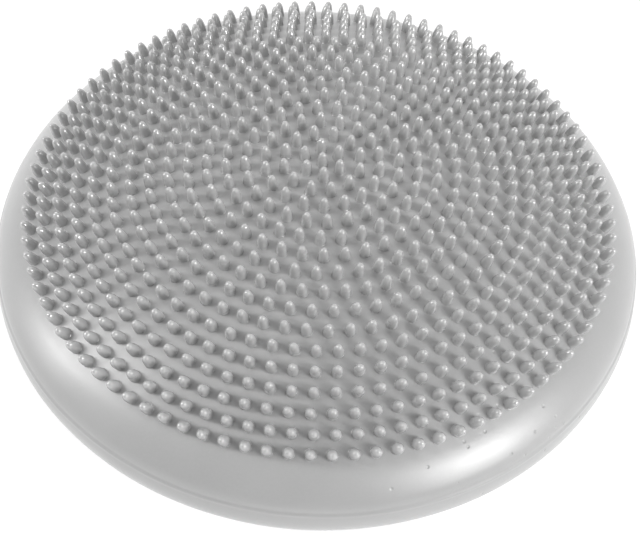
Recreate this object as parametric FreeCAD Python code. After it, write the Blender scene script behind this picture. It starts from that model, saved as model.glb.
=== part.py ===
import FreeCAD, Part
import math
import os

# Balance dome trainer: a round inflatable cushion with a domed, nubbed top, a smooth
# shoulder, a tight rim and a shallow underside that rests on a flat patch.
# Millimetres, +Z up. The origin is on the floor, under the middle of the cushion.

# ---- driving dimensions ----
OVERALL_R = 165.0        # widest radius, at the rim's equator
WALL = 3.4               # thickness of the moulded skin
EQUATOR_Z = 27.0         # height of the widest point above the floor

# The top, from the middle outwards: radius of each arc and the slope where it ends, in degrees
CROWN_ARCS = ((620.0, 5.0), (268.0, 15.0), (225.0, 28.3), (42.5, 47.7))
CROWN_EDGE_SLOPE = 28.3  # the nubbed crown ends here, and the smooth side wall starts
CROWN_GAP = 0.3          # between the crown's edge and the side wall
WALL_END_SLOPE = 97.0    # the side wall ends here, just under the equator
PARTING_SLOPE = 69.7     # the mould's parting line, on the rim a little above the equator
PARTING_BEAD_R = 0.5
UNDER_SLOPE = 168.0      # the rim's arc ends here, and the flatter underside starts

# Where each ring of nubs starts from the front, as a part of its nubs' spacing, inner ring first.
# Every ring has six more nubs than the last.
NUB_STAGGER = (0.1, 0.5, 0.2, 0.4, 0.1, 0.3, 0.0, 0.4, 0.9, 0.7, 0.2, 0.2, 0.2, 0.1, 0.3, 0.2)
INNER_RINGS = 11         # the nubs of these rings are one group, and the rest another
NUB_PITCH = 9.34         # along the skin, from ring to ring
NUB_CLOSING = 0.0118     # how much the outermost ring draws in, as a part of its distance
NUB_CLOSING_POWER = 8    # so the last few rings take nearly all of it
NUB_HEIGHT = 8.0
NUB_TIP_R = 1.95
NUB_BASE_R = 2.55        # where the nub's flank meets the skin
NUB_ROOT = 1.2           # how far each nub reaches into the skin

BUMP_RINGS = (114.0, 124.0, 134.0, 144.0)  # radii of the low grip bumps under the cushion
BUMP_COUNT = 48          # on the inner ring; each further ring has six more
BUMP_STAGGER = 0.4       # of the bumps' spacing, from ring to ring
BUMP_HEIGHT = 1.2
BUMP_BASE_R = 2.4

FRONT_AZIMUTH = -90.0    # azimuths are from +X round to +Y, so this is the front and 90 the back
VALVE_AZIMUTH = 90.0
VALVE_SLOPE = 125.0      # the valve sits on the back of the rim, under the side wall
SEAT_R = 7.5
SEAT_FACE = -2.0         # depth of the seat's flat face below the rim's surface
SEAT_END = -12.0
HEAD_R = 5.2
HEAD_TOP = -2.6
HEAD_T = 1.8
HEAD_FILLET = 0.5
POCKET_GAP = 0.4         # round the plug's head
CORE_R = 4.2
STEM_R = 0.95
STEM_LENGTH = 6.5
FIT = 0.05               # radial clearance round the plug's stem


def vec(r, z):
    """A point in the meridian plane, at radius r and height z."""
    return FreeCAD.Vector(r, 0, z)


def normal(slope):
    """The outward normal in the meridian plane: 0 points up, 90 outwards and 180 down."""
    a = math.radians(slope)
    return vec(math.sin(a), math.cos(a))


def meridian():
    """The skin's outer arcs, from the middle of the top round to the flat patch.

    Each is (centre, radius, slope at its start, slope at its end)."""
    arcs = []
    start, slope = vec(0, 0), 0.0
    for radius, end in CROWN_ARCS:
        centre = start - normal(slope) * radius
        arcs.append((centre, radius, slope, end))
        start, slope = centre + normal(end) * radius, end
    rim = (OVERALL_R - start.x) / (1 - normal(slope).x)
    centre = start - normal(slope) * rim
    lift = vec(0, EQUATOR_Z - centre.z)
    arcs = [(c + lift, radius, a, b) for c, radius, a, b in arcs]
    centre = centre + lift
    arcs.append((centre, rim, slope, UNDER_SLOPE))
    start = centre + normal(UNDER_SLOPE) * rim
    under = start.z / (1 + normal(UNDER_SLOPE).z)
    arcs.append((start - normal(UNDER_SLOPE) * under, under, UNDER_SLOPE, 180.0))
    return arcs


MERIDIAN = meridian()


def skin_point(slope, depth=0.0):
    """The point of the outer skin where its normal has this slope, or a depth below it."""
    for centre, radius, a, b in MERIDIAN:
        if a <= slope <= b:
            return centre + normal(slope) * (radius - depth)


def slope_along(length):
    """The slope after this length of skin from the middle of the top."""
    for centre, radius, a, b in MERIDIAN:
        span = radius * math.radians(b - a)
        if length <= span:
            return a + math.degrees(length / radius)
        length -= span


def slope_under(r):
    """The slope where the underside's arc passes radius r."""
    centre, radius, a, b = MERIDIAN[-1]
    return 180.0 - math.degrees(math.asin((r - centre.x) / radius))


def skin_arcs(start, end, depth):
    """Edges along the skin from slope to slope, at a depth below its surface."""
    edges = []
    for centre, radius, a, b in MERIDIAN:
        low, high = max(a, start), min(b, end)
        if low < high:
            ends = [centre + normal(s) * (radius - depth) for s in (low, (low + high) / 2, high)]
            edges.append(Part.Arc(*ends).toShape())
    return edges


def line(a, b):
    return Part.LineSegment(a, b).toShape()


def turn(edges):
    """Turns a closed outline in the meridian plane right round the Z axis."""
    face = Part.Face(Part.Wire(Part.__sortEdges__(edges)))
    return face.revolve(FreeCAD.Vector(0, 0, 0), FreeCAD.Vector(0, 0, 1), 360)


def skin_band(start, end):
    """A band of skin between two slopes, closed on the axis at 0 and at 180 degrees."""
    edges = skin_arcs(start, end, 0) + skin_arcs(start, end, WALL)
    if end < 180:
        edges.append(line(skin_point(end), skin_point(end, WALL)))
    else:
        outer, inner = skin_point(180.0), skin_point(180.0, WALL)
        edges += [line(outer, vec(0, outer.z)), line(inner, vec(0, inner.z))]
        edges.append(line(vec(0, outer.z), vec(0, inner.z)))
    edges.append(line(skin_point(start), skin_point(start, WALL)))
    return turn(edges)


def place(shape, slope, azimuth):
    """Moves a shape built on +Z to the skin there; azimuth 0 is +X."""
    shape = shape.copy()
    where = FreeCAD.Placement(skin_point(slope), FreeCAD.Rotation(FreeCAD.Vector(0, 1, 0), slope))
    about = FreeCAD.Placement(FreeCAD.Vector(), FreeCAD.Rotation(FreeCAD.Vector(0, 0, 1), azimuth))
    shape.Placement = about.multiply(where)
    return shape


def group(single, places):
    """Copies of one shape at each slope and azimuth, as a group of separate solids."""
    return Part.makeCompound([place(single, slope, azimuth) for slope, azimuth in places])


def nub():
    """One massage nub on +Z: a slim cone with a ball end, rooted in the skin."""
    ball_z = NUB_HEIGHT - NUB_TIP_R
    reach = math.hypot(NUB_BASE_R, ball_z)
    lean = math.atan2(NUB_BASE_R, ball_z) - math.asin(NUB_TIP_R / reach)
    shoulder = vec(NUB_TIP_R * math.cos(lean), ball_z + NUB_TIP_R * math.sin(lean))
    halfway = (math.pi / 2 + lean) / 2
    round_tip = vec(NUB_TIP_R * math.cos(halfway), ball_z + NUB_TIP_R * math.sin(halfway))
    root = vec(NUB_BASE_R + NUB_ROOT * math.tan(lean), -NUB_ROOT)
    tip = vec(0, NUB_HEIGHT)
    bottom = vec(0, -NUB_ROOT)
    edges = [line(bottom, root), line(root, shoulder), Part.Arc(shoulder, round_tip, tip).toShape()]
    return turn(edges + [line(tip, bottom)])


def nub_places(first, last):
    """The slope and azimuth of each nub from one ring to another; ring 0 is the middle nub."""
    places = []
    for ring in range(first, last + 1):
        closing = NUB_CLOSING * (ring / len(NUB_STAGGER)) ** NUB_CLOSING_POWER
        slope = slope_along(NUB_PITCH * ring * (1 - closing))
        count = max(6 * ring, 1)
        stagger = NUB_STAGGER[ring - 1] if ring else 0
        places += [(slope, 360.0 * (i + stagger) / count + FRONT_AZIMUTH) for i in range(count)]
    return places


def crown_skin():
    """The domed top without its nubs. Its edge stays just clear of the side wall."""
    gap = math.degrees(CROWN_GAP / CROWN_ARCS[-2][0])
    return skin_band(0.0, CROWN_EDGE_SLOPE - gap)


def centre_nubs():
    """The middle nub and the ring round it."""
    return group(nub(), nub_places(0, 1))


def inner_nubs():
    """The inner rings of nubs. All nubs are moulded in one with the crown."""
    return group(nub(), nub_places(2, INNER_RINGS))


def outer_nubs():
    """The rings from there to the crown's edge."""
    return group(nub(), nub_places(INNER_RINGS + 1, len(NUB_STAGGER)))


def grip_bump():
    """One low bump on +Z: the cap of a ball, with its root in the skin."""
    ball_r = (BUMP_BASE_R ** 2 + BUMP_HEIGHT ** 2) / (2 * BUMP_HEIGHT)
    ball = Part.makeSphere(ball_r, vec(0, BUMP_HEIGHT - ball_r))
    root = Part.makeCylinder(ball_r, 2 * BUMP_HEIGHT, vec(0, -BUMP_HEIGHT))
    return ball.common(root)


def grip_bumps():
    """The low bumps under the cushion, moulded in one with the lower skin."""
    places = []
    for ring, r in enumerate(BUMP_RINGS):
        count = BUMP_COUNT + 6 * ring
        turns = [(i + BUMP_STAGGER * ring) / count for i in range(count)]
        places += [(slope_under(r), 360.0 * turn) for turn in turns]
    return group(grip_bump(), places)


def lower_skin():
    """The underside and the lower rim, with the valve's hole."""
    hole = Part.makeCylinder(SEAT_R, 4 * WALL, vec(0, -3 * WALL))
    return skin_band(WALL_END_SLOPE, 180.0).cut(on_valve(hole))


def side_wall():
    """The smooth shoulder and the upper rim, with the fine bead of the parting line."""
    parting = skin_point(PARTING_SLOPE)
    bead = Part.makeTorus(parting.x, PARTING_BEAD_R, vec(0, parting.z))
    return skin_band(CROWN_EDGE_SLOPE, WALL_END_SLOPE).fuse(bead)


def on_valve(shape):
    """Moves a shape built on +Z to the valve's place on the rim."""
    return place(shape, VALVE_SLOPE, VALVE_AZIMUTH)


def rod(radius, low, high):
    return Part.makeCylinder(radius, high - low, vec(0, low))


def valve_seat():
    """The stiff ring bonded into the skin, with a bore for the core and a pocket for the plug."""
    seat = rod(SEAT_R, SEAT_END, SEAT_FACE)
    pocket = rod(HEAD_R + POCKET_GAP, HEAD_TOP - HEAD_T - FIT, 0)
    return on_valve(seat.cut(rod(CORE_R, SEAT_END - 1, 0)).cut(pocket))


def valve_core():
    """The self-sealing rubber insert, with the passage for a pump's needle."""
    top = HEAD_TOP - HEAD_T - FIT
    core = rod(CORE_R, SEAT_END, top)
    return on_valve(core.cut(rod(STEM_R + FIT, SEAT_END - 1, 0)))


def valve_plug():
    """The push-in stopper: a round head on a thin stem."""
    under = HEAD_TOP - HEAD_T
    head = rod(HEAD_R, under, HEAD_TOP)
    head = head.makeFillet(HEAD_FILLET, [e for e in head.Edges if e.CenterOfMass.z > HEAD_TOP - 0.01])
    return on_valve(head.fuse(rod(STEM_R, under - STEM_LENGTH, under + HEAD_T / 2)))


os.makedirs("parts", exist_ok=True)
for build in (crown_skin, centre_nubs, inner_nubs, outer_nubs, side_wall, lower_skin,
              grip_bumps, valve_seat, valve_core, valve_plug):
    shape = build()
    shape.exportStep("parts/" + build.__name__ + ".step")
    box = shape.BoundBox
    print(build.__name__, "solids", len(shape.Solids), "valid", shape.isValid(),
          "volume cm3", round(shape.Volume / 1000, 2), "z", round(box.ZMin, 2), round(box.ZMax, 2))
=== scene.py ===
import math
import random

import bpy
from mathutils import Matrix, Vector, noise


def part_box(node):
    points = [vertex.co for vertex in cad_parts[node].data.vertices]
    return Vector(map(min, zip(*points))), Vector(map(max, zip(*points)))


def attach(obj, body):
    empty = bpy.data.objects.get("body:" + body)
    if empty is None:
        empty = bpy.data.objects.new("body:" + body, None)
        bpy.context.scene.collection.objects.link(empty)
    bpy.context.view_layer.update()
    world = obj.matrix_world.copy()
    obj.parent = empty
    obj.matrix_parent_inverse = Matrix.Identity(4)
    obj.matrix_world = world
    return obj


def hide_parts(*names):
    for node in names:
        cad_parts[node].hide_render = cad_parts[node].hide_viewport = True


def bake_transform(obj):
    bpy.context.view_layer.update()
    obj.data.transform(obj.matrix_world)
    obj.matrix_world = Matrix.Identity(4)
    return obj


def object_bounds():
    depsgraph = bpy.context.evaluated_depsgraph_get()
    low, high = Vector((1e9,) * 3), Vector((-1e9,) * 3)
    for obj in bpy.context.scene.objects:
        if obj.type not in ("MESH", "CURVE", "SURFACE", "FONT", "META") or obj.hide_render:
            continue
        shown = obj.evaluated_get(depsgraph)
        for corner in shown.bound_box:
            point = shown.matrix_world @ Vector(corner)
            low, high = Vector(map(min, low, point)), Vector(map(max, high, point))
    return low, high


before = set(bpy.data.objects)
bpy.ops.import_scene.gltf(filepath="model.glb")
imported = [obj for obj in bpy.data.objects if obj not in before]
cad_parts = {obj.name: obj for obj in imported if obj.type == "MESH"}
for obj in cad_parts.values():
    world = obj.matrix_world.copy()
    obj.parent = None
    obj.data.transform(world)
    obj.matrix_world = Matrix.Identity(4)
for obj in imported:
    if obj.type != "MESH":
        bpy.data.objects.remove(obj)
cad_low, cad_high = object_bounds()

MM = 0.001
TINY = 0.0001 * MM
SHARP = 38.0           # degrees between faces, from which a cut's edge looks sharp

# ---- the cushion's section, in metres and degrees: the same arcs as the CAD model's ----
# Each arc of the crown is its radius and the slope where it ends.
CROWN_ARCS = ((0.620, 5.0), (0.268, 15.0), (0.225, 28.3), (0.0425, 47.7))
UNDER_SLOPE = 168.0
PARTING_SLOPE = 69.7
VALVE_SLOPE = 125.0
VALVE_AZIMUTH = 90.0
WALL = 3.4 * MM
OVERALL_R = (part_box("side_wall")[1].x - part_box("side_wall")[0].x) / 2
APEX_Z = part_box("crown_skin")[1].z

# ---- the skin's mesh and its moulded relief ----
SEGMENTS = 288
OUTER_ROWS = (14, 16, 26, 20, 120, 26)   # rows in each arc, the middle of the top first
INNER_ROWS = (8, 8, 10, 10, 30, 12)
PATCH_ROWS = 8
BEAD_HEIGHT = 0.22 * MM
BEAD_WIDTH = 2.2       # degrees of slope, as are the other widths, places and fades here
BEAD_DRIFT = 0.5
BEAD_UNEVEN = 0.4      # share of its height
GROOVE_DEPTH = 0.2 * MM
GROOVE_WIDTH = 3.2
GROOVE_ABOVE = 4.5
WAVE_HEIGHT = 0.16 * MM
WAVE_START, WAVE_FADE_IN = 31, 10     # the waves start outside the nubs
WAVE_END, WAVE_FADE_OUT = 150, 20     # and end under the rim
DRIFT_SCALE, UNEVEN_SCALE, WAVE_SCALE = 30, 80, 26    # noise cells in a metre
SUNK = 0.04 * MM       # how far a nub's or bump's edge starts below the skin

# ---- the nubs ----
NUB_STAGGER = (0.1, 0.5, 0.2, 0.4, 0.1, 0.3, 0.0, 0.4, 0.9, 0.7, 0.2, 0.2, 0.2, 0.1, 0.3, 0.2)
NUB_PITCH = 9.34 * MM
NUB_CLOSING = 0.0118
NUB_CLOSING_POWER = 8
NUB_HEIGHT = 8.0 * MM
NUB_BALL = 1.95 * MM     # the CAD nub's ball end, which the camera's place is measured from
NUB_BASE_R = 2.75 * MM   # where the flank meets the soft foot
NUB_FLANK = 1.9          # powers of the ogive: a higher one holds its width further up,
NUB_TIP = 2.5            # and this one blunts its tip; at 2 and 2 it is half an ellipse
NUB_FOOT_R = 2.95 * MM
NUB_FOOT_H = 0.35 * MM
NUB_FOOT_TURN = 80       # degrees of the foot's arc
NUB_FOOT_ROWS = 4
NUB_ROOT = 1.0 * MM
NUB_ROWS = 13
NUB_SEGMENTS = 20
NUB_TILT = 1.0           # degrees, one standard deviation
NUB_STRETCH = 0.006      # the same for its height

# ---- the bumps under the cushion ----
BUMP_RINGS = (0.114, 0.124, 0.134, 0.144)
BUMP_COUNT = 48
BUMP_STAGGER = 0.4
BUMP_HEIGHT = 1.2 * MM
BUMP_R = 2.9 * MM
BUMP_RISE = 1.25       # the dome is at its full height before its middle
BUMP_ROWS = 8
BUMP_SEGMENTS = 20

# ---- the valve, in its own frame: heights from the skin's surface ----
SEAT_R = 7.5 * MM
SEAT_FACE = -2.0 * MM
SEAT_END = -12.0 * MM
POCKET_R = 5.6 * MM
HEAD_R = 5.2 * MM
HEAD_TOP = -2.6 * MM
HEAD_UNDER = -4.4 * MM
CORE_R = 4.2 * MM
STEM_R = 0.95 * MM
STEM_END = -10.9 * MM
FINGER_R = 3.7 * MM      # the stopper's two finger pockets,
FINGER_DEPTH = 0.9 * MM
FINGER_BAR = 0.7 * MM    # and half of the bar between them
COLLAR_R = 9.6 * MM
COLLAR_INNER_R = SEAT_R - 0.45 * MM
FIT = 0.1 * MM           # clearance between the valve's pieces, on their diameters and ends
VALVE_FILLET = 0.3 * MM
VALVE_SEGMENTS = 64

# ---- the finish: tones are linear greys ----
SKIN_TONE = 0.37
# painted light: the nubs' grey is the skin's grey painted a touch lighter, for skin and nubs are one
# moulding
NUB_TONE_PAINTED_LIGHTER = 0.41
PLASTIC_TONE = 0.34
RUBBER_TONES = (0.018, 0.045)
PVC_IOR = 1.53
COAT_WEIGHT = 0.9
SCATTER_WEIGHT = 0.4
SCATTER_DEPTH = 2 * MM
PITS_SLOPE = 42.0        # the middle of the shoulder's pitted patch
PITS_AZIMUTH = -57.0
PITS_NEAR = 0.03         # how far the patch reaches, and where it has faded out
PITS_FAR = 0.06
PITS_SHARES = (0.9, 0.08)    # a higher one pits more of the cells: in the patch, and elsewhere
PITS_SCALE = 150.0       # cells in a metre
PITS_SIZE = 0.15         # radius, in cells
PITS_DEPTH = 0.4 * MM

# ---- the studio ----
UNLIT_SIDE = (0.15, -1.0, 0.0)
BRIGHT, DARK = 1.18, 0.16
AIM = Vector((0, 0, 0.05))
FLOOR_REACH = 30.0
FLOOR_TONE = 0.25
FLOOR_GLOW = 0.82
RIGHT = (0.70, -0.55, 0.46)
LEFT = (-0.85, -0.06, 0.50)
TOP_LEFT = (-0.66, -0.14, 0.735)

# ---- the camera, in degrees and metres, from the middle nub's ball end ----
CAMERA_ELEVATION = 46.85
CAMERA_DISTANCE = 0.5379
CAMERA_PAN = -0.174
CAMERA_TILT = -5.70      # down, from the line to that ball end
CAMERA_ROLL = 3.23
LENS_MM, SENSOR_MM = 62.27, 36.0


# ======================= the section =======================

def normal(slope):
    """The section's outward normal as (radius, height): 0 degrees points up, 180 down."""
    a = math.radians(slope)
    return Vector((math.sin(a), math.cos(a)))


def section():
    """The skin's arcs from the top's middle down: (centre, radius, first slope, last slope)."""
    arcs = []
    start, slope = Vector((0.0, APEX_Z)), 0.0
    for radius, end in CROWN_ARCS:
        centre = start - normal(slope) * radius
        arcs.append((centre, radius, slope, end))
        start, slope = centre + normal(end) * radius, end
    rim = (OVERALL_R - start.x) / (1 - normal(slope).x)
    centre = start - normal(slope) * rim
    arcs.append((centre, rim, slope, UNDER_SLOPE))
    start = centre + normal(UNDER_SLOPE) * rim
    under = start.y / (1 + normal(UNDER_SLOPE).y)
    arcs.append((start - normal(UNDER_SLOPE) * under, under, UNDER_SLOPE, 180.0))
    return arcs


SECTION = section()


def skin_point(slope, depth=0.0):
    """(radius, height) of the skin where its normal has this slope, or a depth below it."""
    for centre, radius, first, last in SECTION:
        if first <= slope <= last:
            return centre + normal(slope) * (radius - depth)


def slope_along(length):
    """The slope after this length of skin from the middle of the top."""
    for centre, radius, first, last in SECTION:
        span = radius * math.radians(last - first)
        if length <= span:
            return first + math.degrees(length / radius)
        length -= span


def slope_under(r):
    """The slope where the underside's arc passes radius r."""
    centre, radius, first, last = SECTION[-1]
    return 180.0 - math.degrees(math.asin((r - centre.x) / radius))


def stand(slope, azimuth):
    """A frame on the skin: its origin there, its Z along the outward normal."""
    r, z = skin_point(slope)
    about = Matrix.Rotation(math.radians(azimuth), 4, "Z")
    return about @ Matrix.Translation((r, 0, z)) @ Matrix.Rotation(math.radians(slope), 4, "Y")


# ======================= mesh tools =======================

def mesh_object(name, verts, faces, material, smooth=True):
    """A new object in the scene, with one material."""
    mesh = bpy.data.meshes.new(name)
    mesh.from_pydata(verts, [], faces)
    mesh.validate()
    mesh.materials.append(material)
    if smooth:
        mesh.shade_smooth()
    piece = bpy.data.objects.new(name, mesh)
    bpy.context.scene.collection.objects.link(piece)
    return piece


def ring(r, z, count):
    """Points round the Z axis, or one point if they are on it."""
    if r < TINY:
        return [Vector((0, 0, z))]
    turns = [2 * math.pi * i / count for i in range(count)]
    return [Vector((r * math.cos(a), r * math.sin(a), z)) for a in turns]


def loft(rings, closed=False):
    """Vertices and faces of rings joined in order. A ring of one point closes an end."""
    verts, rows, faces = [], [], []
    for points in rings:
        rows.append(range(len(verts), len(verts) + len(points)))
        verts += points
    following = rows[1:] + rows[:1] if closed else rows[1:]
    for low, high in zip(rows, following):
        count = max(len(low), len(high))
        for i in range(count):
            j = (i + 1) % count
            if len(low) > 1 and len(high) > 1:
                faces.append((low[i], low[j], high[j], high[i]))
            elif len(low) > 1:
                faces.append((low[i], low[j], high[0]))
            elif len(high) > 1:
                faces.append((low[0], high[j], high[i]))
    return verts, faces


def lathe(profile, count, closed=False):
    """Vertices and faces of a profile of (radius, height) points turned about Z."""
    return loft([ring(r, z, count) for r, z in profile], closed)


def prism(outline, low, high):
    """An outline in X and Y as a closed solid between two heights."""
    verts, faces = loft([[Vector((x, y, z)) for x, y in outline] for z in (low, high)])
    count = len(outline)
    return verts, faces + [tuple(reversed(range(count))), tuple(range(count, 2 * count))]


def moved(where, verts):
    """Vertices carried into a frame."""
    return [where @ v for v in verts]


def rounded(corners, steps=5):
    """A profile through corners given as (radius, height, fillet), each with its fillet's arc."""
    points = []
    for i, (r, z, fillet) in enumerate(corners):
        corner = Vector((r, z))
        if not fillet:
            points.append(corner)
            continue
        back = (Vector(corners[i - 1][:2]) - corner).normalized()
        ahead = (Vector(corners[(i + 1) % len(corners)][:2]) - corner).normalized()
        half = back.angle(ahead) / 2
        centre = corner + (back + ahead).normalized() * fillet / math.sin(half)
        reach = fillet / math.tan(half)
        for k in range(steps + 1):
            chord = (corner + back * reach).lerp(corner + ahead * reach, k / steps)
            points.append(centre + (chord - centre).normalized() * fillet)
    return points


def scatter(name, profile, count, frames, material):
    """One object that holds a copy of a lathed profile in each frame."""
    single, around = lathe(profile, count)
    verts, faces = [], []
    for place in frames:
        base = len(verts)
        verts += moved(place, single)
        faces += [[base + i for i in face] for face in around]
    return mesh_object(name, verts, faces, material)


def cut(piece, *cutters):
    """Cuts meshes out of a piece, and removes them."""
    for cutter in cutters:
        tool = piece.modifiers.new("cut", "BOOLEAN")
        tool.operation = "DIFFERENCE"
        tool.solver = "EXACT"
        tool.object = cutter
    depsgraph = bpy.context.evaluated_depsgraph_get()
    result = bpy.data.meshes.new_from_object(piece.evaluated_get(depsgraph))
    piece.modifiers.clear()
    piece.data = result
    result.set_sharp_from_angle(angle=math.radians(SHARP))
    for cutter in cutters:
        bpy.data.objects.remove(cutter)


# ======================= materials =======================

class Nodes:
    """A material's node tree, with short calls that make and join nodes."""

    def __init__(self, name):
        self.material = bpy.data.materials.new(name)
        self.material.use_nodes = True
        self.tree = self.material.node_tree
        self.shader = self.tree.nodes["Principled BSDF"]
        self.where = self.add("ShaderNodeTexCoord").outputs["Object"]

    def add(self, kind, **sockets):
        """A new node, with its inputs named as in Blender but with _ for a space."""
        node = self.tree.nodes.new(kind)
        for key, value in sockets.items():
            self.put(node.inputs[key.replace("_", " ")], value)
        return node

    def put(self, socket, value):
        """Links an output to a socket, or sets the socket's own value."""
        if isinstance(value, bpy.types.NodeSocket):
            self.tree.links.new(value, socket)
        else:
            socket.default_value = value

    def noise(self, scale, detail=2.0, roughness=0.5):
        node = self.add("ShaderNodeTexNoise", Vector=self.where, Scale=scale, Detail=detail,
                        Roughness=roughness)
        return node.outputs["Fac"]

    def ramp(self, value, low, high, to_low=0.0, to_high=1.0):
        """A value taken from one range to another, and held inside it."""
        node = self.add("ShaderNodeMapRange")
        for socket, number in zip(node.inputs[1:5], (low, high, to_low, to_high)):
            socket.default_value = number
        self.put(node.inputs[0], value)
        return node.outputs[0]

    def maths(self, operation, a, b):
        node = self.add("ShaderNodeMath")
        node.operation = operation
        self.put(node.inputs[0], a)
        self.put(node.inputs[1], b)
        return node.outputs[0]

    def mix(self, factor, a, b):
        node = self.add("ShaderNodeMix")
        node.data_type = "RGBA"
        self.put(node.inputs["Factor"], factor)
        self.put(node.inputs[6], a)
        self.put(node.inputs[7], b)
        return node.outputs[2]

    def bump(self, height, distance, strength=1.0, under=None):
        node = self.add("ShaderNodeBump", Height=height)
        node.inputs["Distance"].default_value = distance
        node.inputs["Strength"].default_value = strength
        if under is not None:
            self.put(node.inputs["Normal"], under)
        return node.outputs["Normal"]

    def near(self, place, inner, outer, to_inner, to_outer):
        """One value within a distance of a place on the object, and another one beyond it."""
        apart = self.add("ShaderNodeVectorMath")
        apart.operation = "DISTANCE"
        self.put(apart.inputs[0], self.where)
        apart.inputs[1].default_value = place
        return self.ramp(apart.outputs["Value"], inner, outer, to_inner, to_outer)

    def pits(self, scale, share, size):
        """1, but 0 in small round pits: one in each chosen cell of a Voronoi pattern."""
        cells = self.add("ShaderNodeTexVoronoi", Vector=self.where, Scale=scale)
        chosen = self.maths("LESS_THAN", cells.outputs["Color"], share)
        hollow = self.ramp(cells.outputs["Distance"], 0.0, size, 1.0, 0.0)
        pit = self.maths("MULTIPLY", chosen, hollow)
        return self.maths("SUBTRACT", 1.0, pit)


def grey(value):
    return (value, value, value, 1.0)


def soft_pvc(name, tone, gloss_low, gloss_high, coat_gloss, coat_ior, pitted=True):
    """Moulded soft PVC: cloudy tone, fine orange peel, small pits and an uneven satin gloss."""
    m = Nodes(name)
    clouds = m.noise(14.0, 3.0)
    grain = m.noise(900.0, 2.0)
    tone_cloud = m.mix(m.ramp(clouds, 0.3, 0.7), grey(tone * 0.965), grey(tone * 1.03))
    tone_grain = m.mix(m.ramp(grain, 0.35, 0.75, 0.0, 0.35), tone_cloud, grey(tone * 1.08))
    m.put(m.shader.inputs["Base Color"], tone_grain)
    scuffs = m.noise(55.0, 4.0, 0.6)
    m.put(m.shader.inputs["Roughness"], m.ramp(scuffs, 0.3, 0.7, gloss_low, gloss_high))
    surface = m.bump(m.noise(420.0, 2.0), 0.05 * MM, 0.5)
    surface = m.bump(grain, 0.02 * MM, 0.5, surface)
    if pitted:
        patch = stand(PITS_SLOPE, PITS_AZIMUTH).translation
        share = m.near(patch, PITS_NEAR, PITS_FAR, *PITS_SHARES)
        surface = m.bump(m.pits(PITS_SCALE, share, PITS_SIZE), PITS_DEPTH, 1.0, surface)
    m.put(m.shader.inputs["Normal"], surface)
    m.put(m.shader.inputs["Coat Normal"], surface)
    m.shader.inputs["Subsurface Weight"].default_value = SCATTER_WEIGHT
    m.shader.inputs["Subsurface Radius"].default_value = (1.0, 1.0, 1.0)
    m.shader.inputs["Subsurface Scale"].default_value = SCATTER_DEPTH
    m.shader.inputs["IOR"].default_value = PVC_IOR
    m.shader.inputs["Coat Weight"].default_value = COAT_WEIGHT
    m.shader.inputs["Coat IOR"].default_value = coat_ior
    m.shader.inputs["Coat Roughness"].default_value = coat_gloss
    return m.material


def hard_plastic(name, tone):
    """The valve's moulded plastic: a fine spark-eroded grain."""
    m = Nodes(name)
    m.put(m.shader.inputs["Base Color"],
          m.mix(m.ramp(m.noise(300.0), 0.3, 0.7), grey(tone * 0.94), grey(tone * 1.05)))
    m.put(m.shader.inputs["Roughness"], m.ramp(m.noise(700.0), 0.3, 0.7, 0.38, 0.52))
    m.put(m.shader.inputs["Normal"], m.bump(m.noise(1500.0), 0.03 * MM, 0.5))
    return m.material


def core_rubber():
    """The valve core's dull black rubber, dusted lighter in places."""
    m = Nodes("core_rubber")
    clean, dusty = RUBBER_TONES
    m.put(m.shader.inputs["Base Color"],
          m.mix(m.ramp(m.noise(400.0, 4.0), 0.4, 0.8), grey(clean), grey(dusty)))
    m.put(m.shader.inputs["Roughness"], m.ramp(m.noise(600.0), 0.3, 0.7, 0.6, 0.8))
    m.put(m.shader.inputs["Normal"], m.bump(m.noise(1200.0), 0.04 * MM, 0.6))
    return m.material


# ======================= the bladder =======================

def row_slopes(counts):
    """The slopes of the skin's rows, from the middle of the top to the flat patch's edge."""
    slopes = [0.0]
    for (centre, radius, first, last), steps in zip(SECTION, counts):
        slopes += [first + (last - first) * i / steps for i in range(1, steps + 1)]
    return slopes


def ease(value):
    """A smooth step: 0 up to 0, 1 from 1 on."""
    t = min(max(value, 0.0), 1.0)
    return t * t * (3 - 2 * t)


def relief(slope, spot):
    """How far the moulded skin stands proud of its section at a spot: the parting line, with the
    shallow dip above it, and the faint waves of an inflated shoulder."""
    off = slope - PARTING_SLOPE - BEAD_DRIFT * noise.noise(spot * DRIFT_SCALE)
    bead = BEAD_HEIGHT * (1 + BEAD_UNEVEN * noise.noise(spot * UNEVEN_SCALE))
    bead *= math.exp(-(off / BEAD_WIDTH) ** 2)
    dip = GROOVE_DEPTH * math.exp(-((off + GROOVE_ABOVE) / GROOVE_WIDTH) ** 2)
    fade_in = ease((slope - WAVE_START) / WAVE_FADE_IN)
    fade_out = ease((WAVE_END - slope) / WAVE_FADE_OUT)
    waves = WAVE_HEIGHT * noise.noise(spot * WAVE_SCALE) * fade_in * fade_out
    return bead - dip + waves


def outer_ring(slope):
    """The skin's outer surface at one slope."""
    points = ring(*skin_point(slope), SEGMENTS)
    if len(points) > 1:
        out = normal(slope)
        for point in points:
            lift = relief(slope, point)
            flat = Vector((point.x, point.y)).normalized() * out.x
            point += Vector((flat.x, flat.y, out.y)) * lift
    return points


def bladder(material):
    """The air cushion's skin: a closed shell with a hole for the valve."""
    outer = row_slopes(OUTER_ROWS)[::-1]
    inner = row_slopes(INNER_ROWS)
    edge = skin_point(180.0).x
    rings = [ring(edge * i / PATCH_ROWS, 0.0, SEGMENTS) for i in range(PATCH_ROWS)]
    rings += [outer_ring(slope) for slope in outer]
    rings += [ring(*skin_point(slope, WALL), SEGMENTS) for slope in inner]
    rings.append(ring(0.0, WALL, SEGMENTS))
    skin = mesh_object("bladder_skin", *loft(rings), material)
    bore = [(0, SEAT_END), (SEAT_R, SEAT_END), (SEAT_R, COLLAR_R), (0, COLLAR_R)]
    verts, faces = lathe(bore, VALVE_SEGMENTS)
    cut(skin, mesh_object("valve_hole", moved(VALVE_FRAME, verts), faces, material))
    return skin


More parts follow.
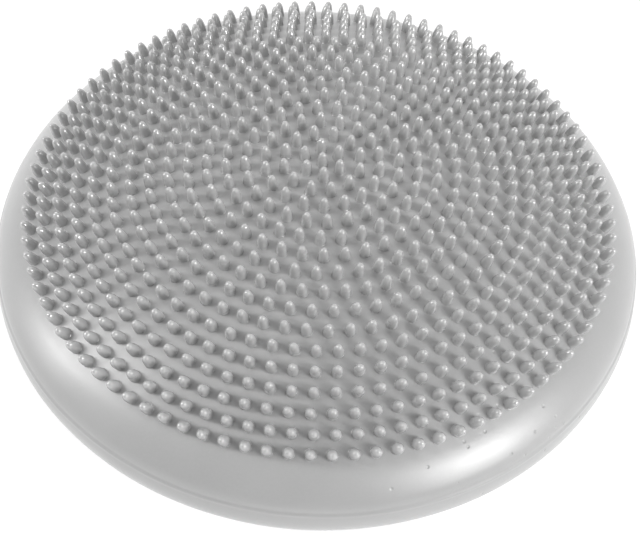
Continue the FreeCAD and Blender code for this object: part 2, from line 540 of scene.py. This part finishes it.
def nub_profile():
    """Root, small soft foot, and an ogive whose flank rounds over into its tip."""
    points = [(0.0, -NUB_ROOT), (NUB_FOOT_R, -NUB_ROOT), (NUB_FOOT_R, -SUNK)]
    for i in range(1, NUB_FOOT_ROWS + 1):
        a = math.radians(NUB_FOOT_TURN * i / NUB_FOOT_ROWS)
        r = NUB_FOOT_R - (NUB_FOOT_R - NUB_BASE_R) * math.sin(a)
        points.append((r, NUB_FOOT_H * (1 - math.cos(a))))
    foot_z = points[-1][1]
    for i in range(1, NUB_ROWS + 1):
        a = math.pi / 2 * i / NUB_ROWS
        r = NUB_BASE_R * abs(math.cos(a)) ** (2 / NUB_TIP)
        rise = math.sin(a) ** (2 / NUB_FLANK)
        points.append((r, foot_z + (NUB_HEIGHT - foot_z) * rise))
    return points


def uneven(chance):
    """A moulded nub's small faults: a slight tilt and a slight stretch."""
    tilt = Matrix.Rotation(math.radians(chance.gauss(0, NUB_TILT)), 4, "X")
    lean = Matrix.Rotation(math.radians(chance.gauss(0, NUB_TILT)), 4, "Y")
    return tilt @ lean @ Matrix.Scale(1 + chance.gauss(0, NUB_STRETCH), 4, (0, 0, 1))


def nub_frames(first, last):
    """Where the nubs of these rings stand. The rings close up a little towards the field's edge."""
    chance = random.Random(first)
    frames = []
    for number in range(first, last + 1):
        closing = NUB_CLOSING * (number / len(NUB_STAGGER)) ** NUB_CLOSING_POWER
        slope = slope_along(NUB_PITCH * number * (1 - closing))
        count = max(6 * number, 1)
        stagger = NUB_STAGGER[number - 1] if number else 0
        for i in range(count):
            frames.append(stand(slope, 360.0 * (i + stagger) / count - 90) @ uneven(chance))
    return frames


def nubs(name, first, last, material):
    """One piece with every nub from one ring to another."""
    return scatter(name, nub_profile(), NUB_SEGMENTS, nub_frames(first, last), material)


def grip_bumps(material):
    """Low domes with a soft foot, in staggered rings under the cushion."""
    profile = [(0.0, -NUB_ROOT), (BUMP_R, -NUB_ROOT), (BUMP_R, -SUNK)]
    for i in range(BUMP_ROWS + 1):
        t = i / BUMP_ROWS
        profile.append((BUMP_R * (1 - t), BUMP_HEIGHT * ease(t * BUMP_RISE)))
    frames = []
    for number, r in enumerate(BUMP_RINGS):
        count = BUMP_COUNT + 6 * number
        turns = [(i + BUMP_STAGGER * number) / count for i in range(count)]
        frames += [stand(slope_under(r), 360.0 * turn) for turn in turns]
    return scatter("grip_bumps_under", profile, BUMP_SEGMENTS, frames, material)


# ======================= the valve =======================

VALVE_FRAME = stand(VALVE_SLOPE, VALVE_AZIMUTH)
RIM_CENTRE, RIM_R = SECTION[-2][:2]


def skin_height(x, y):
    """The rim's surface above or below the valve's frame at a place in it, by halving."""
    low, high = -6 * MM, 1 * MM
    while high - low > TINY:
        middle = (low + high) / 2
        spot = VALVE_FRAME @ Vector((x, y, middle))
        out = math.hypot(math.hypot(spot.x, spot.y) - RIM_CENTRE.x, spot.z - RIM_CENTRE.y)
        if out > RIM_R:
            high = middle
        else:
            low = middle
    return (low + high) / 2


def valve_collar(material):
    """The soft lip round the valve's hole. It follows the curve of the rim."""
    outer, inner = COLLAR_R, COLLAR_INNER_R
    # The lip's section: each point's radius, and how far it stands proud of the rim.
    # A point with None lies on the level of the seat's face.
    lip = ((inner + 0.1 * MM, None), (outer, -0.8 * MM), (outer, -0.03 * MM),
           (outer - 0.5 * MM, 0.12 * MM), (outer - 0.9 * MM, 0.4 * MM), (outer - 1.4 * MM, 0.55 * MM),
           (inner + 0.4 * MM, 0.5 * MM), (inner + 0.1 * MM, 0.3 * MM), (inner, 0.0), (inner, None))
    rings = []
    for r, proud in lip:
        flat = ring(r, 0.0, VALVE_SEGMENTS)
        for point in flat:
            point.z = SEAT_FACE if proud is None else skin_height(point.x, point.y) + proud
        rings.append(flat)
    verts, faces = loft(rings, closed=True)
    return mesh_object("valve_collar", moved(VALVE_FRAME, verts), faces, material)


def turned(name, corners, material, closed):
    """A piece of the valve, turned about its axis."""
    verts, faces = lathe(rounded(corners), VALVE_SEGMENTS, closed)
    return mesh_object(name, moved(VALVE_FRAME, verts), faces, material)


def valve_seat(material):
    """The ring bonded into the skin: the stopper's pocket, and the bore that holds the core."""
    fillet, outer, ledge = VALVE_FILLET, SEAT_R - FIT / 2, HEAD_UNDER - FIT
    corners = ((CORE_R, SEAT_END, fillet), (outer, SEAT_END, fillet), (outer, SEAT_FACE, fillet),
               (POCKET_R, SEAT_FACE, fillet), (POCKET_R, ledge, fillet), (CORE_R, ledge, 0.1 * MM))
    return turned("valve_seat_ring", corners, material, closed=True)


def valve_core(material):
    """The rubber core, with a passage for the stopper's stem that widens at its mouth."""
    fillet, outer, top = VALVE_FILLET, CORE_R - 0.04 * MM, HEAD_UNDER - FIT
    passage = STEM_R + FIT / 2
    corners = ((passage, SEAT_END, fillet), (outer, SEAT_END, fillet), (outer, top, fillet),
               (passage + 0.8 * MM, top, 0.2 * MM), (passage, HEAD_UNDER - 0.7 * MM, 0.2 * MM))
    return turned("valve_core_rubber", corners, material, closed=True)


def valve_stopper(material):
    """A round head with two finger pockets and a bar between them, on a thin stem."""
    corners = ((0, STEM_END, 0), (STEM_R, STEM_END, 0.45 * MM), (STEM_R, HEAD_UNDER, VALVE_FILLET),
               (HEAD_R, HEAD_UNDER, VALVE_FILLET), (HEAD_R, HEAD_TOP, 0.5 * MM), (0, HEAD_TOP, 0))
    stopper = turned("valve_stopper", corners, material, closed=False)
    half = math.acos(FINGER_BAR / FINGER_R)
    steps = 20
    pockets = []
    for side in (0, math.pi):
        turns = [side - half + 2 * half * i / steps for i in range(steps + 1)]
        outline = [(FINGER_R * math.cos(a), FINGER_R * math.sin(a)) for a in turns]
        verts, faces = prism(outline, HEAD_TOP - FINGER_DEPTH, HEAD_TOP + MM)
        pockets.append(mesh_object("pocket", moved(VALVE_FRAME, verts), faces, material))
    cut(stopper, *pockets)
    return stopper


# ======================= build =======================

pvc = soft_pvc("soft_pvc_skin", SKIN_TONE,
               gloss_low=0.34, gloss_high=0.44, coat_gloss=0.32, coat_ior=1.55)
skin = bladder(pvc)
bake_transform(skin)
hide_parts("crown_skin", "side_wall", "lower_skin")

# The nubs' own copy of the PVC is painted a touch lighter than the skin's as painted light; its coat
# is also glossier.
nub_pvc_painted_lighter = soft_pvc("soft_pvc_nubs_painted_lighter", NUB_TONE_PAINTED_LIGHTER,
                   gloss_low=0.22, gloss_high=0.30, coat_gloss=0.04, coat_ior=2.0, pitted=False)
# Each piece's first and last ring, and the CAD node it hides. The rings are shared out evenly by their
# triangles, and the CAD nodes divide them at other rings: only the three together stand for the three.
groups = (("nubs_middle", 0, 9, ["centre_nubs"]), ("nubs_outer", 10, 13, ["inner_nubs"]),
          ("nubs_edge", 14, 16, ["outer_nubs"]))
for name, first, last, nodes in groups:
    piece = nubs(name, first, last, nub_pvc_painted_lighter)
    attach(piece, "crown")
    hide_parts(*nodes)

plastic = hard_plastic("valve_plastic", PLASTIC_TONE)
small_pieces = ((grip_bumps(pvc), "base", "skin", ["grip_bumps"]),
                (valve_collar(pvc), "base", "skin", []),
                (valve_seat(plastic), "base", "valve_seat", ["valve_seat"]),
                (valve_core(core_rubber()), "base", "valve_core", ["valve_core"]),
                (valve_stopper(plastic), "plug", "valve_plug", ["valve_plug"]))
for piece, body, slot, nodes in small_pieces:
    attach(piece, body)
    if nodes:
        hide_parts(*nodes)


# ======================= stage, lights and camera =======================

def light_box(name, direction, distance, width, height, power):
    """A softbox that stands off in one direction and faces the cushion, in metres and watts."""
    lamp = bpy.data.lights.new(name, "AREA")
    lamp.shape = "RECTANGLE"
    lamp.size, lamp.size_y = width, height
    lamp.energy = power
    holder = bpy.data.objects.new(name, lamp)
    bpy.context.scene.collection.objects.link(holder)
    holder.location = AIM + Vector(direction).normalized() * distance
    holder.rotation_mode = "QUATERNION"
    holder.rotation_quaternion = (AIM - holder.location).to_track_quat("-Z", "Y")


def floor():
    """A plain pale floor. Its own light keeps it about as white as the room."""
    m = Nodes("pale_floor")
    m.shader.inputs["Base Color"].default_value = grey(FLOOR_TONE)
    m.shader.inputs["Roughness"].default_value = 0.9
    m.shader.inputs["Specular IOR Level"].default_value = 0.0
    m.shader.inputs["Emission Color"].default_value = grey(1.0)
    m.shader.inputs["Emission Strength"].default_value = FLOOR_GLOW
    reach = FLOOR_REACH
    corners = [(-reach, -reach, 0), (reach, -reach, 0), (reach, reach, 0), (-reach, reach, 0)]
    plane = mesh_object("studio_floor", corners, [(0, 1, 2, 3)], m.material, smooth=False)


def surround():
    """A room whose light falls off evenly towards the unlit side. The room itself looks white."""
    world = bpy.data.worlds.new("white_surround")
    bpy.context.scene.world = world
    world.use_nodes = True
    nodes, links = world.node_tree.nodes, world.node_tree.links
    where = nodes.new("ShaderNodeTexCoord")
    facing = nodes.new("ShaderNodeVectorMath")
    facing.operation = "DOT_PRODUCT"
    facing.inputs[1].default_value = Vector(UNLIT_SIDE).normalized()
    strength = nodes.new("ShaderNodeMapRange")
    for socket, number in zip(strength.inputs[1:5], (-1.0, 1.0, BRIGHT, DARK)):
        socket.default_value = number
    seen = nodes.new("ShaderNodeMix")
    seen.inputs["B"].default_value = 1.0
    sky = nodes["Background"]
    links.new(where.outputs["Generated"], facing.inputs[0])
    links.new(facing.outputs["Value"], strength.inputs[0])
    links.new(nodes.new("ShaderNodeLightPath").outputs["Is Camera Ray"], seen.inputs["Factor"])
    links.new(strength.outputs[0], seen.inputs["A"])
    links.new(seen.outputs["Result"], sky.inputs["Strength"])
    sky.inputs["Color"].default_value = grey(1.0)


def camera():
    """The camera stands in front, above the middle nub's ball end, and aims below it."""
    pitch = math.radians(CAMERA_ELEVATION)
    pan, tilt, roll = (math.radians(a) for a in (CAMERA_PAN, CAMERA_TILT, CAMERA_ROLL))
    tip = Vector((0, 0, cad_high.z - NUB_BALL))
    ahead = Vector((0, math.cos(pitch), -math.sin(pitch)))
    up = Vector((0, math.sin(pitch), math.cos(pitch)))
    right = Vector((1, 0, 0))
    side = right * math.cos(pan) + ahead * math.sin(pan)
    ahead = ahead * math.cos(pan) - right * math.sin(pan)
    top = up * math.cos(tilt) - ahead * math.sin(tilt)
    view = up * math.sin(tilt) + ahead * math.cos(tilt)
    right = side * math.cos(roll) + top * math.sin(roll)
    up = top * math.cos(roll) - side * math.sin(roll)
    lens = bpy.data.cameras.new("photo_camera")
    lens.sensor_width, lens.lens = SENSOR_MM, LENS_MM
    holder = bpy.data.objects.new("photo_camera", lens)
    bpy.context.scene.collection.objects.link(holder)
    turn = Matrix((right, up, -view)).transposed().to_4x4()
    place = tip + Vector((0, -math.cos(pitch), math.sin(pitch))) * CAMERA_DISTANCE
    holder.matrix_world = Matrix.Translation(place) @ turn
    bpy.context.scene.camera = holder


floor()
surround()
light_box("right_softbox", RIGHT, distance=1.65, width=1.1, height=0.9, power=12)
light_box("right_hot_centre", RIGHT, distance=1.6, width=0.45, height=0.4, power=8)
light_box("left_softbox", LEFT, distance=1.75, width=0.4, height=1.3, power=7)
light_box("left_hot_centre", LEFT, distance=1.7, width=0.3, height=0.4, power=4)
light_box("top_left_softbox", TOP_LEFT, distance=1.6, width=0.22, height=0.3, power=2.5)
camera()
bpy.context.scene.view_settings.view_transform = "Standard"
